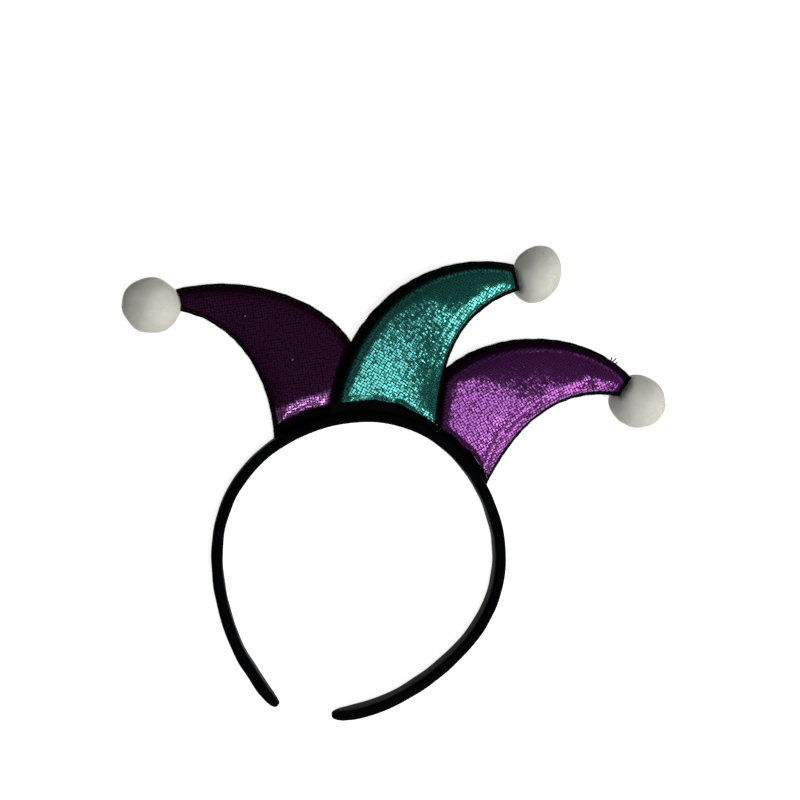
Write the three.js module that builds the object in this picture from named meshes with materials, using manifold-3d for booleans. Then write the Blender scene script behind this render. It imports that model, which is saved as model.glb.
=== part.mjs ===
// A three-horned jester headband lying face up: a springy hoop wrapped in satin, three padded
// horns of metallic cloth on felt backings, and a pompom on the tip of each horn.
// Millimetres, +Z up, crown of the hoop towards +Y, origin under the middle of the whole piece.

import * as THREE from 'three';
import { mergeVertices } from 'three/addons/utils/BufferGeometryUtils.js';
import Module from 'manifold-3d';

const wasm = await Module();
wasm.setup();

// Clearance kept between pieces that touch, and round a curved neighbour that one is cut back from
const gap = 0.3;
const cutGap = 0.45;

// Points closer than this are one point
const weld = 1e-4;

// Hoop: the centre line is a circle, stretched towards the crown and drawn in at the sides.
// Each tip ends at its own angle from the crown and springs outwards a little.
const hoop = {
  radius: 64.2,
  stretch: 2.2,
  egg: -1.5,
  square: 1,
  left: { tipAngle: 171, flare: 4.5 },
  right: { tipAngle: 169, flare: 1 },
  flareStart: 153,
  thickness: 4.5,
  width: 9.5,
  cornerRadius: 1.6,
  cornerShare: 0.42,
  steps: 72,
};

// How the band narrows towards each tip, measured back from the tip
const tipTaper = [
  { back: 0, thickness: 0.34, width: 0.3 },
  { back: 0.7, thickness: 0.6, width: 0.5 },
  { back: 2, thickness: 0.82, width: 0.68 },
  { back: 5, thickness: 0.96, width: 0.86 },
  { back: 10, thickness: 1, width: 1 },
];

// Horns: both edges of each felt backing are curves in plan, left and right on the way from the
// hoop to the tip. The two pull points bend the curve. seam is the height of the sewn edge.
const horns = [
  {
    name: 'left',
    colour: 0x5f1266,
    leftEdge: { base: [-51, 32], lowPull: [-59.5, 57.5], highPull: [-81, 81.5], tip: [-110, 77] },
    rightEdge: { base: [-31, 59.5], lowPull: [-13.2, 97.7], highPull: [-74.5, 113.6], tip: [-115, 85] },
    seam: { base: 4.2, tip: 12.5 },
    pompom: [-122, 75],
  },
  {
    name: 'middle',
    colour: 0x0b6b63,
    leftEdge: { base: [-34, 55.5], lowPull: [-48, 94.5], highPull: [-27, 140], tip: [16.5, 147] },
    rightEdge: { base: [15, 60.5], lowPull: [4.5, 87.5], highPull: [-3.5, 116.5], tip: [23, 137.5] },
    seam: { base: 7.5, tip: 15 },
    pompom: [28, 147],
  },
  {
    name: 'right',
    colour: 0x7d2a8a,
    leftEdge: { base: [10, 65], lowPull: [-17.8, 94.6], highPull: [42.7, 140.9], tip: [84, 119.5] },
    rightEdge: { base: [42, 46.5], lowPull: [43.5, 74], highPull: [50.5, 103.5], tip: [81.5, 110] },
    seam: { base: 4.2, tip: 16.5 },
    pompom: [91.5, 111],
  },
];

// Padding: how far the cloth swells in front of the seam and the felt behind it, along the horn
const padding = [
  { along: 0, front: 6.4, back: 0.8 },
  { along: 0.3, front: 7, back: 2.2 },
  { along: 0.6, front: 6.4, back: 2.4 },
  { along: 0.85, front: 4.8, back: 2 },
  { along: 0.96, front: 3.6, back: 1.4 },
  { along: 1, front: 1.8, back: 0.6 },
];

// The padding is flat on top with round shoulders, and rounds down again above the hoop
const shoulder = { flatness: 3, roundness: 0.55 };
const seamRise = 1.4;
const baseRound = 6;
const clothEdge = 0.3;

// Faces along and across a horn. Stations crowd towards the tip.
const hornSteps = 18;
const hornColumns = 10;
const tipCrowding = 0.9;

// Felt: a sheet whose trimmed edge stands proud of the padded cloth. Above the hoop it shows
// as a hem, wider on the left than on the right.
const feltThickness = 1.5;
const feltFlange = 1.5;
const hem = { left: 4.5, right: 2, leftAngle: -15, rightAngle: 10 };

// A stitch pulls the middle horn's cloth in above the hoop
const pucker = { along: 0.24, across: 0.1, radius: 5, depth: 1.6 };

// Pompom: a round head with blunt locks of pile fused all over it, some a little shorter than others
const pompom = {
  radius: 13.2,
  headRadius: 11.9,
  headDetail: 2,
  locks: 36,
  lockRadius: 4.4,
  unevenness: 0.5,
  unevenTurn: 3,
};

// The end stretch of a horn that sinks into its pompom
const tipStretch = { start: 0.8, steps: 4 };

const satin = new THREE.MeshStandardMaterial({ color: 0x0a0c10, roughness: 0.45, metalness: 0 });
const felt = new THREE.MeshStandardMaterial({ color: 0x141416, roughness: 0.95, metalness: 0 });
const pile = new THREE.MeshStandardMaterial({ color: 0xdcdbd2, roughness: 1, metalness: 0 });

function plan([x, y]) {
  return new THREE.Vector2(x, y);
}

// A smooth value from a table, eased between the rows on either side
function tableValue(rows, key, at, column) {
  const last = rows.length - 1;
  if (at <= rows[0][key]) return rows[0][column];
  if (at >= rows[last][key]) return rows[last][column];
  const upper = rows.findIndex((row) => row[key] > at);
  const low = rows[upper - 1];
  const high = rows[upper];
  const share = (at - low[key]) / (high[key] - low[key]);
  return THREE.MathUtils.lerp(low[column], high[column], THREE.MathUtils.smoothstep(share, 0, 1));
}

// A closed body through rings of points, with a fan of faces over each end
function loft(rings) {
  const count = rings[0].length;
  const last = rings.length - 1;
  const points = rings.flat();
  const faces = [];
  for (let ring = 0; ring < last; ring += 1) {
    for (let side = 0; side < count; side += 1) {
      const here = ring * count + side;
      const next = ring * count + ((side + 1) % count);
      faces.push(here, next, next + count, here, next + count, here + count);
    }
  }
  const startCentre = points.push(middleOf(rings[0])) - 1;
  const endCentre = points.push(middleOf(rings[last])) - 1;
  for (let side = 0; side < count; side += 1) {
    const next = (side + 1) % count;
    faces.push(startCentre, next, side);
    faces.push(endCentre, last * count + side, last * count + next);
  }
  const geometry = new THREE.BufferGeometry().setFromPoints(points);
  geometry.setIndex(faces);
  return geometry;
}

function middleOf(ring) {
  const sum = ring.reduce((total, point) => total.add(point), new THREE.Vector3());
  return sum.divideScalar(ring.length);
}

// Geometry to solid and back, for joins and cuts
function toSolid(geometry) {
  const bare = geometry.clone();
  bare.deleteAttribute('normal');
  bare.deleteAttribute('uv');
  const welded = mergeVertices(bare, weld);
  const mesh = new wasm.Mesh({
    numProp: 3,
    vertProperties: new Float32Array(welded.attributes.position.array),
    triVerts: new Uint32Array(welded.index.array),
  });
  return new wasm.Manifold(mesh);
}

function toGeometry(solid) {
  const mesh = solid.getMesh();
  const geometry = new THREE.BufferGeometry();
  geometry.setAttribute('position', new THREE.BufferAttribute(mesh.vertProperties, 3));
  geometry.setIndex(new THREE.BufferAttribute(mesh.triVerts, 1));
  geometry.computeVertexNormals();
  return geometry;
}

// Hoop centre line, by the angle from the crown in radians, with an offset outwards
function hoopPoint(angle, offset) {
  const side = angle < 0 ? hoop.left : hoop.right;
  const turned = Math.abs(THREE.MathUtils.radToDeg(angle));
  const flare = side.flare * THREE.MathUtils.smoothstep(turned, hoop.flareStart, 180);
  const reach = hoop.radius + offset + flare + hoop.stretch * Math.cos(2 * angle)
    + hoop.egg * Math.cos(3 * angle) + hoop.square * Math.cos(4 * angle);
  return new THREE.Vector2(reach * Math.sin(angle), reach * Math.cos(angle));
}

// Rounded rectangle of the band, across and up, anticlockwise
function bandSection(thickness, width) {
  const radius = Math.min(hoop.cornerRadius, hoop.cornerShare * Math.min(thickness, width));
  const section = [];
  for (let corner = 0; corner < 4; corner += 1) {
    const signX = corner === 0 || corner === 3 ? 1 : -1;
    const signY = corner < 2 ? 1 : -1;
    for (const turn of [0, 0.5, 1]) {
      const angle = (corner + turn) * Math.PI / 2;
      const across = signX * (thickness / 2 - radius) + radius * Math.cos(angle);
      const upward = signY * (width / 2 - radius) + radius * Math.sin(angle);
      section.push(new THREE.Vector2(across, upward));
    }
  }
  return section;
}

// Distances along the band from the crown, to the left and to the right, close together at the tips
function bandStations() {
  const leftEnd = -hoop.radius * THREE.MathUtils.degToRad(hoop.left.tipAngle);
  const rightEnd = hoop.radius * THREE.MathUtils.degToRad(hoop.right.tipAngle);
  const tipRows = tipTaper.map((row) => row.back);
  const plainStart = leftEnd + tipRows[tipRows.length - 1];
  const plainEnd = rightEnd - tipRows[tipRows.length - 1];
  const plainSteps = hoop.steps - 2 * tipRows.length;
  const stations = tipRows.map((back) => ({ run: leftEnd + back, back }));
  for (let step = 1; step < plainSteps; step += 1) {
    const run = THREE.MathUtils.lerp(plainStart, plainEnd, step / plainSteps);
    stations.push({ run, back: Math.min(run - leftEnd, rightEnd - run) });
  }
  stations.push(...tipRows.map((back) => ({ run: rightEnd - back, back })).reverse());
  return stations;
}

function headband() {
  const nudge = 0.01;
  const rings = bandStations().map(({ run, back }) => {
    const angle = run / hoop.radius;
    const thickness = hoop.thickness * tableValue(tipTaper, 'back', back, 'thickness');
    const width = hoop.width * tableValue(tipTaper, 'back', back, 'width');
    const ahead = hoopPoint(angle + nudge, 0).sub(hoopPoint(angle - nudge, 0)).normalize();
    const centre = hoopPoint(angle, 0);
    return bandSection(thickness, width).map(({ x, y }) => new THREE.Vector3(
      centre.x - ahead.y * x,
      centre.y + ahead.x * x,
      hoop.width / 2 + y,
    ));
  });
  return loft(rings);
}

// How much hem shows between the hoop and the cloth
function hemWidth(angle) {
  const turned = THREE.MathUtils.radToDeg(angle);
  const share = THREE.MathUtils.smoothstep(turned, hem.leftAngle, hem.rightAngle);
  return THREE.MathUtils.lerp(hem.left, hem.right, share);
}

// A tall block inside the hoop's outer face and a margin round it, which the horns are cut back to
function hoopBlock(margin) {
  const blockHeight = 60;
  const outline = [];
  for (let step = 0; step < hoop.steps; step += 1) {
    const angle = Math.PI * (1 - 2 * step / hoop.steps);
    outline.push(hoopPoint(angle, hoop.thickness / 2 + margin(angle)));
  }
  const options = { depth: blockHeight, bevelEnabled: false };
  const block = new THREE.ExtrudeGeometry(new THREE.Shape(outline), options);
  return toSolid(block.translate(0, 0, -blockHeight / 2));
}

// How far a point in plan lies beyond the hem
function beyondHem(spot) {
  const angle = Math.atan2(spot.x, spot.y);
  return spot.length() - hoopPoint(angle, hoop.thickness / 2 + hemWidth(angle)).length();
}

function edgeCurve({ base, lowPull, highPull, tip }) {
  return new THREE.CubicBezierCurve(plan(base), plan(lowPull), plan(highPull), plan(tip));
}

// Where a horn's sewn edge runs: the middle between both edges, the way across, and the height
function hornStation(horn, along) {
  const left = edgeCurve(horn.leftEdge).getPointAt(along);
  const right = edgeCurve(horn.rightEdge).getPointAt(along);
  const centre = left.clone().add(right).multiplyScalar(0.5);
  const halfWidth = left.distanceTo(right) / 2;
  const across = right.sub(left).normalize();
  const height = THREE.MathUtils.lerp(horn.seam.base, horn.seam.tip, along ** seamRise);
  return { centre, across, halfWidth, height };
}

// Rounded height of the padding across the horn, from -1 to 1
function paddingShare(across) {
  return Math.max(0, 1 - Math.abs(across) ** shoulder.flatness) ** shoulder.roundness;
}

// The same roundness above the hem
function baseShare(spot) {
  const inwards = 1 - THREE.MathUtils.clamp(beyondHem(spot) / baseRound, 0, 1);
  return Math.sqrt(1 - inwards * inwards);
}

function puckerDepth(horn, station, along, offset) {
  if (horn.name !== 'middle') return 0;
  const runLength = edgeCurve(horn.rightEdge).getLength();
  const farAlong = (along - pucker.along) * runLength;
  const farAcross = offset - pucker.across * station.halfWidth;
  const distance = Math.hypot(farAlong, farAcross) / pucker.radius;
  return pucker.depth * Math.exp(-distance * distance);
}

// One ring of a body between a front and a back surface. Both are heights above the seam.
function hornRing(station, halfWidth, front, back) {
  const ring = [];
  const place = (share, rise) => {
    const offset = halfWidth * share;
    const spot = station.across.clone().multiplyScalar(offset).add(station.centre);
    ring.push(new THREE.Vector3(spot.x, spot.y, station.height + rise(share, offset, spot)));
  };
  for (let column = 0; column <= hornColumns; column += 1) {
    place(2 * column / hornColumns - 1, front);
  }
  for (let column = 0; column <= hornColumns; column += 1) {
    place(1 - 2 * column / hornColumns, back);
  }
  return ring;
}

// Even stations along a horn up to its end, closer together at the tip
function hornStations(end) {
  const stations = [];
  for (let step = 0; step <= hornSteps; step += 1) {
    stations.push(end * Math.sin(step / hornSteps * Math.PI / 2) ** tipCrowding);
  }
  return stations;
}

// The stuffed cloth front, from the sewn edge up and a little way down behind it
function paddedHorn(horn) {
  const end = 1 - feltFlange / edgeCurve(horn.rightEdge).getLength();
  const rings = hornStations(end).map((along) => {
    const station = hornStation(horn, along);
    const front = tableValue(padding, 'along', along / end, 'front');
    const back = tableValue(padding, 'along', along / end, 'back');
    return hornRing(
      station,
      station.halfWidth - feltFlange,
      (share, offset, spot) => clothEdge + front * paddingShare(share) * baseShare(spot)
        - puckerDepth(horn, station, along, offset),
      (share) => -back * paddingShare(share),
    );
  });
  return loft(rings);
}

// The felt sheet behind the padding, dished to hold it
function feltBacking(horn) {
  const rings = hornStations(1).map((along) => {
    const station = hornStation(horn, along);
    const back = tableValue(padding, 'along', along, 'back');
    const padded = station.halfWidth - feltFlange;
    const dish = (offset) => -gap - back * paddingShare(Math.min(1, Math.abs(offset) / padded));
    return hornRing(
      station,
      station.halfWidth,
      (share, offset) => dish(offset),
      (share, offset) => dish(offset) - feltThickness,
    );
  });
  return loft(rings);
}

// The space that the middle horn needs above the horns that tuck in under it
function hornClearance(horn) {
  const tall = 30;
  const rings = hornStations(1).map((along) => {
    const station = hornStation(horn, along);
    const back = tableValue(padding, 'along', along, 'back');
    return hornRing(
      station,
      station.halfWidth + cutGap,
      () => tall,
      (share) => -cutGap - gap - feltThickness - back * paddingShare(share),
    );
  });
  return toSolid(loft(rings));
}

// Pompom round its own centre: locks spread evenly over the head on a golden spiral
function pompomHead() {
  const goldenTurn = Math.PI * (3 - Math.sqrt(5));
  let body = toSolid(new THREE.IcosahedronGeometry(pompom.headRadius, pompom.headDetail));
  for (let lock = 0; lock < pompom.locks; lock += 1) {
    const height = 1 - 2 * (lock + 0.5) / pompom.locks;
    const spread = Math.sqrt(1 - height * height);
    const turn = goldenTurn * lock;
    const towards = new THREE.Vector3(spread * Math.cos(turn), spread * Math.sin(turn), height);
    const shortening = pompom.unevenness * (0.5 + 0.5 * Math.sin(pompom.unevenTurn * lock));
    const reach = pompom.radius - pompom.lockRadius - shortening;
    const tuft = new THREE.IcosahedronGeometry(pompom.lockRadius, 0);
    tuft.lookAt(towards);
    tuft.translate(towards.x * reach, towards.y * reach, towards.z * reach);
    body = body.add(toSolid(tuft));
  }
  return toGeometry(body);
}

// The room that a horn's tip takes up in its pompom, open above
function tipClearance(horn) {
  const back = tableValue(padding, 'along', tipStretch.start, 'back');
  const stations = [];
  for (let step = 0; step <= tipStretch.steps; step += 1) {
    const along = THREE.MathUtils.lerp(tipStretch.start, 1, step / tipStretch.steps);
    stations.push(hornStation(horn, along));
  }
  const end = stations[tipStretch.steps];
  const ahead = new THREE.Vector2(-end.across.y, end.across.x).multiplyScalar(cutGap);
  stations.push({ ...end, centre: end.centre.clone().add(ahead) });
  const rings = stations.map((station) => hornRing(
    station,
    station.halfWidth + cutGap,
    () => 2 * pompom.radius,
    () => -cutGap - gap - feltThickness - back,
  ));
  return toSolid(loft(rings));
}

function addPiece(group, name, geometry, material) {
  const mesh = new THREE.Mesh(geometry, material);
  mesh.name = name;
  group.add(mesh);
}

const assembly = new THREE.Group();
const insideHoop = hoopBlock(() => gap);
const insideHem = hoopBlock(hemWidth);
const underMiddle = hornClearance(horns.find((horn) => horn.name === 'middle'));
const pompomShape = pompomHead();
pompomShape.computeBoundingBox();
const pompomRest = -pompomShape.boundingBox.min.z;

addPiece(assembly, 'headband', headband(), satin);

for (const horn of horns) {
  const cloth = new THREE.MeshStandardMaterial({ color: horn.colour, roughness: 0.35, metalness: 0.9 });
  const pieces = [
    { name: `horn_${horn.name}`, body: toSolid(paddedHorn(horn)), limit: insideHem, material: cloth },
    { name: `backing_${horn.name}`, body: toSolid(feltBacking(horn)), limit: insideHoop, material: felt },
  ];
  for (const { name, body, limit, material } of pieces) {
    let trimmed = body.subtract(limit);
    if (horn.name !== 'middle') trimmed = trimmed.subtract(underMiddle);
    addPiece(assembly, name, toGeometry(trimmed), material);
  }
  const [x, y] = horn.pompom;
  const ball = toSolid(pompomShape.clone().translate(x, y, pompomRest));
  addPiece(assembly, `pompom_${horn.name}`, toGeometry(ball.subtract(tipClearance(horn))), pile);
}

// Stand the whole piece on its lowest points, centred over the origin
const box = new THREE.Box3().setFromObject(assembly);
const centre = box.getCenter(new THREE.Vector3());
assembly.position.set(-centre.x, -centre.y, -box.min.z);

export default assembly;
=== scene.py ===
# Jester headband lying face up: satin hoop, stuffed lame horns sewn on felt, white pompoms
import math
import bpy
import numpy as np
from mathutils import Matrix, Vector


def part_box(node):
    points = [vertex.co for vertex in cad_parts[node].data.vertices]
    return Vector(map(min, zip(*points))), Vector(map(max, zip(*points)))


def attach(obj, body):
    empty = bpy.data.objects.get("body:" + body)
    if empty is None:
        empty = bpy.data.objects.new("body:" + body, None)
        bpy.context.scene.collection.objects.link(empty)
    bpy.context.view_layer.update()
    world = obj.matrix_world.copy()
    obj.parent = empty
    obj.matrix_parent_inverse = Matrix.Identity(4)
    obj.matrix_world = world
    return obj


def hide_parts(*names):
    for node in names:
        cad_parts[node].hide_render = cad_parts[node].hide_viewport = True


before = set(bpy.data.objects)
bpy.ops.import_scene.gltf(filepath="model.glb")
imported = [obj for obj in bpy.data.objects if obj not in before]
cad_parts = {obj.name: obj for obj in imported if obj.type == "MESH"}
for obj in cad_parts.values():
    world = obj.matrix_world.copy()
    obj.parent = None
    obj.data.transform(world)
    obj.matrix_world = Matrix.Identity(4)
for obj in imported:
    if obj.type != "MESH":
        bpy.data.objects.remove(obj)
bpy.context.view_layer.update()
scene = bpy.context.scene
mm = 0.001  # metres; sizes below are millimetres unless they say otherwise
norm = np.linalg.norm
print("frame loaded:", ", ".join(sorted(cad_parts)))


# small helpers

def eased(value, low, high):
    share = np.clip((value - low) / (high - low), 0, 1)
    return share * share * (3 - 2 * share)


def tableValue(at, stops, values):
    # smooth steps between the rows of a short table
    stops, values = np.array(stops), np.array(values)
    at = np.clip(at, stops[0], stops[-1])
    row = np.clip(np.searchsorted(stops, at, side="right") - 1, 0, len(stops) - 2)
    share = eased(at, stops[row], stops[row + 1])
    return values[row] * (1 - share) + values[row + 1] * share


def smoothNoise(points, pitch, seed):
    # soft waves in a few fixed random directions, about -1 to 1
    rng = np.random.default_rng(seed)
    waves = 7
    total = np.zeros(points.shape[:-1])
    for wave in range(waves):
        direction = rng.normal(size=points.shape[-1])
        direction /= norm(direction)
        turns = 2 * np.pi * rng.uniform(0.7, 1.4) / pitch
        total += np.sin(points @ direction * turns + rng.uniform(0, 2 * np.pi))
    return total / math.sqrt(waves)


def gridFaces(rows, columns, first=0, wrap=False, flip=False):
    faces = []
    across = columns if wrap else columns - 1
    for row in range(rows - 1):
        for column in range(across):
            here = first + row * columns + column
            beside = first + row * columns + (column + 1) % columns
            face = (here, beside, beside + columns, here + columns)
            faces.append(face[::-1] if flip else face)
    return faces


def addObject(name, data):
    thing = bpy.data.objects.new(name, data)
    scene.collection.objects.link(thing)
    return thing


def pointsOf(mesh):
    points = np.zeros(len(mesh.vertices) * 3)
    mesh.vertices.foreach_get("co", points)
    return points.reshape(-1, 3)


def raised(spots, heights):
    return np.concatenate([spots, heights[..., None]], -1)


def meshPiece(name, points, faces, material=None):
    mesh = bpy.data.meshes.new(name)
    mesh.from_pydata(np.asarray(points).tolist(), [], faces)
    mesh.polygons.foreach_set("use_smooth", [True] * len(mesh.polygons))
    mesh.update()
    piece = addObject(name, mesh)
    if material:
        mesh.materials.append(material)
    return piece


def linePiece(name, lines):
    # loose edges along each line of points, for node trees that follow a path
    points = [point for line in lines for point in line]
    edges = []
    first = 0
    for line in lines:
        edges += [(first + step, first + step + 1) for step in range(len(line) - 1)]
        first += len(line)
    mesh = bpy.data.meshes.new(name)
    mesh.from_pydata(np.asarray(points).tolist(), edges, [])
    return addObject(name, mesh)


def setPointValue(piece, name, values):
    attribute = piece.data.attributes.new(name, "FLOAT", "POINT")
    attribute.data.foreach_set("value", np.asarray(values, np.float32))


def toLinear(hexColour):
    parts = [int(hexColour[place:place + 2], 16) / 255 for place in (1, 3, 5)]
    return tuple(p / 12.92 if p <= 0.04045 else ((p + 0.055) / 1.055) ** 2.4 for p in parts) + (1.0,)


def addNode(tree, kind, inputs=None, **settings):
    node = tree.nodes.new(kind)
    for name, value in settings.items():
        setattr(node, name, value)
    for key, value in (inputs or {}).items():
        if isinstance(value, bpy.types.NodeSocket):
            tree.links.new(value, node.inputs[key])
        else:
            node.inputs[key].default_value = value
    return node


def newMaterial(name, roughness, specular):
    material = bpy.data.materials.new(name)
    material.use_nodes = True
    tree = material.node_tree
    shader = tree.nodes["Principled BSDF"]
    shader.inputs["Roughness"].default_value = roughness
    shader.inputs["Specular IOR Level"].default_value = specular
    return material, tree, shader


def newTree(name, sockets):
    tree = bpy.data.node_groups.new(name, "GeometryNodeTree")
    for label, kind in [("Geometry", "Geometry")] + sockets:
        tree.interface.new_socket(label, in_out="INPUT", socket_type="NodeSocket" + kind)
    tree.interface.new_socket("Geometry", in_out="OUTPUT", socket_type="NodeSocketGeometry")
    start = tree.nodes.new("NodeGroupInput")
    return tree, start.outputs


def endTree(tree, geometry, material):
    plain = addNode(tree, "GeometryNodeRealizeInstances", {"Geometry": geometry})
    dressed = addNode(tree, "GeometryNodeSetMaterial", {
        "Geometry": plain.outputs[0], "Material": material})
    addNode(tree, "NodeGroupOutput", {0: dressed.outputs[0]})


def plantTree(tree, given, points, shape, aimed, length):
    # ends a tree with a shape on each point, all equally thick
    size = addNode(tree, "ShaderNodeCombineXYZ", {
        0: given["Thickness"], 1: given["Thickness"], 2: length})
    planted = addNode(tree, "GeometryNodeInstanceOnPoints", {
        "Points": points, "Instance": shape, "Rotation": aimed, "Scale": size.outputs[0]})
    endTree(tree, planted.outputs[0], given["Material"])


def growTree(piece, tree, values):
    # runs a node tree on a piece and keeps the result as its plain mesh
    modifier = piece.modifiers.new(tree.name, "NODES")
    modifier.node_group = tree
    for item in tree.interface.items_tree:
        if item.in_out == "INPUT" and item.name in values:
            modifier[item.identifier] = values[item.name]
    graph = bpy.context.evaluated_depsgraph_get()
    grown = bpy.data.meshes.new_from_object(piece.evaluated_get(graph))
    piece.modifiers.clear()
    piece.data = grown
    return piece


def finishPiece(piece, slot, *nodes):
    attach(piece, "root")
    if nodes:
        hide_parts(*nodes)


# camera at the photo's angle, nearly overhead

cameraSizes = {
    "lookAt": (-7.2, 74.25, 0.0),  # from the hoop's centre
    "distance": 507.6,
    "elevation": 81.5,
    "azimuth": -94.0,
    "imageTurn": 20.55,
    "lens": 51.27,
    "sensor": 36.0,
    "clipStart": 10.0,
}

hoopSizes = {
    "radius": 64.2,
    "stretch": 2.2,
    "egg": -1.5,
    "square": 1.0,
    "leftTip": 171.0,
    "rightTip": 169.0,
    "leftFlare": 4.5,
    "rightFlare": 1.0,
    "flareStart": 153.0,
    "thickness": 4.5,
    "width": 9.5,
    "cornerRadius": 1.7,
    "cornerShare": 0.45,  # of the thinner side, at the most
    "wrap": 0.25,  # ribbon over the springy strip, on each face
    "stations": 360,
    "cornerPoints": 7,
    "tipStations": (0.0, 0.15, 0.35, 0.6, 0.9),  # more of them close to each tip
    "tipBack": (0, 0.7, 2, 5, 10),
    "tipThickness": (0.34, 0.6, 0.82, 0.96, 1),
    "tipWidth": (0.3, 0.5, 0.68, 0.86, 1),
    "lapHeight": 0.28,
    "lapWidth": 1.6,
    "lapOffset": 0.8,  # above the middle of the inner face
    "innerFace": 0.05,  # depth of what counts as the inner face
    "unevenness": 0.12,
    "unevenPitch": 14.0,
    "unevenSeed": 3,
    "floorGap": 0.02,
}

hoopLow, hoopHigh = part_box("headband")
crownReach = sum(hoopSizes[key] for key in ("radius", "stretch", "egg", "square"))
crownReach += hoopSizes["thickness"] / 2
hoopCentre = np.array([(hoopLow.x + hoopHigh.x) / 2, hoopHigh.y - crownReach * mm, 0.0])


def toFrame(points):
    return np.asarray(points, float) * mm + hoopCentre


def hoopReach(angle):
    flare = np.where(angle < 0, hoopSizes["leftFlare"], hoopSizes["rightFlare"])
    flare = flare * eased(np.abs(np.degrees(angle)), hoopSizes["flareStart"], 180)
    return (hoopSizes["radius"] + flare + hoopSizes["stretch"] * np.cos(2 * angle)
            + hoopSizes["egg"] * np.cos(3 * angle) + hoopSizes["square"] * np.cos(4 * angle))


def hoopPoint(angle):
    reach = hoopReach(angle)
    return np.stack([reach * np.sin(angle), reach * np.cos(angle)], -1)


def makeCamera():
    sizes = cameraSizes
    high = math.radians(sizes["elevation"])
    aside = math.radians(sizes["azimuth"])
    roll = math.radians(sizes["imageTurn"]) - aside
    turn = Matrix.Rotation(aside, 4, "Z") @ Matrix.Rotation(math.pi / 2 - high, 4, "X")
    turn = turn @ Matrix.Rotation(roll, 4, "Z")
    middle = Matrix.Translation(Vector(toFrame(sizes["lookAt"])))
    back = Matrix.Translation((0, 0, sizes["distance"] * mm))
    camera = addObject("camera", bpy.data.cameras.new("camera"))
    camera.data.lens = sizes["lens"]
    camera.data.sensor_width = sizes["sensor"]
    camera.data.clip_start = sizes["clipStart"] * mm
    camera.matrix_world = middle @ turn @ back
    scene.camera = camera


# materials

lameWeave = {
    "pitch": 1.15,  # foil floats; real ones are near 0.5 mm, drawn coarser so that they show
    "irregular": 0.35,
    "tilt": 0.07,  # how far single floats lean, as a slope
    "floatEdge": (0.38, 0.48),  # in pitches from a float's middle, where foil gives way to ground yarn
    "floatRise": 0.03,
    "creaseSize": (3.2, 1.0, 20.0),  # the last is height, through which a crease hardly changes
    "creaseDepth": 0.13,
    "creaseTurn": -0.43,
}


def makeLame(name, foil, ground, paintedShadeColour, turn):
    # lame: foil yarn woven over dark polyester, so bright floats glint singly on a dark ground
    material, tree, shader = newMaterial(name, roughness=0.2, specular=0.0)
    place = addNode(tree, "ShaderNodeTexCoord").outputs["Object"]
    pitch = lameWeave["pitch"] * mm
    threads = addNode(tree, "ShaderNodeMapping", {
        "Vector": place, "Rotation": (0, 0, turn), "Scale": (pitch, pitch, pitch)}, vector_type="TEXTURE")
    floats = addNode(tree, "ShaderNodeTexVoronoi", {
        "Vector": threads.outputs[0], "Scale": 1.0, "Randomness": lameWeave["irregular"]},
        voronoi_dimensions="2D", feature="F1")
    foilEnd, groundStart = lameWeave["floatEdge"]
    crown = addNode(tree, "ShaderNodeMapRange", {
        "Value": floats.outputs["Distance"], "From Min": foilEnd, "From Max": groundStart,
        "To Min": 1.0, "To Max": 0.0}, interpolation_type="SMOOTHSTEP")
    colour = addNode(tree, "ShaderNodeMix", {
        0: crown.outputs[0], 6: toLinear(ground), 7: toLinear(foil)}, data_type="RGBA")
    # painted shade: where the attribute is high the colour goes over to a dark shade colour and the foil
    # stops shining, along the seams, at the hem, under the middle horn and over most of the left horn
    paintedShadeWeight = addNode(tree, "ShaderNodeAttribute", attribute_name="paintedShadeMap").outputs["Fac"]
    colour = addNode(tree, "ShaderNodeMix", {
        0: paintedShadeWeight, 6: colour.outputs[2], 7: toLinear(paintedShadeColour)}, data_type="RGBA")
    metal = addNode(tree, "ShaderNodeMath", {0: 1.0, 1: paintedShadeWeight}, operation="SUBTRACT")
    metal = addNode(tree, "ShaderNodeMath", {
        0: metal.outputs[0], 1: crown.outputs[0]}, operation="MULTIPLY")
    tree.links.new(metal.outputs[0], shader.inputs["Metallic"])
    tree.links.new(colour.outputs[2], shader.inputs["Base Color"])

    # each float leans its own way
    lean = addNode(tree, "ShaderNodeVectorMath", {
        0: floats.outputs["Color"], 1: (0.5, 0.5, 0.5)}, operation="SUBTRACT")
    span = 2 * lameWeave["tilt"]
    lean = addNode(tree, "ShaderNodeVectorMath", {
        0: lean.outputs[0], 1: (span, span, 0)}, operation="MULTIPLY")
    surface = addNode(tree, "ShaderNodeNewGeometry").outputs["Normal"]
    lean = addNode(tree, "ShaderNodeVectorMath", {0: surface, 1: lean.outputs[0]}, operation="ADD")
    lean = addNode(tree, "ShaderNodeVectorMath", {0: lean.outputs[0]}, operation="NORMALIZE")

    # short fine creases across the cloth
    creaseSize = tuple(length * mm for length in lameWeave["creaseSize"])
    creasePlace = addNode(tree, "ShaderNodeMapping", {
        "Vector": place, "Rotation": (0, 0, lameWeave["creaseTurn"]), "Scale": creaseSize},
        vector_type="TEXTURE")
    crease = addNode(tree, "ShaderNodeTexNoise", {
        "Vector": creasePlace.outputs[0], "Scale": 1.0, "Detail": 1.0, "Roughness": 0.5})
    creaseBump = addNode(tree, "ShaderNodeBump", {
        "Height": crease.outputs[0], "Strength": 1.0, "Distance": lameWeave["creaseDepth"] * mm,
        "Normal": lean.outputs[0]})
    bump = addNode(tree, "ShaderNodeBump", {
        "Height": crown.outputs[0], "Strength": 0.4, "Distance": lameWeave["floatRise"] * mm,
        "Normal": creaseBump.outputs[0]})
    tree.links.new(bump.outputs[0], shader.inputs["Normal"])
    return material


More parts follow.
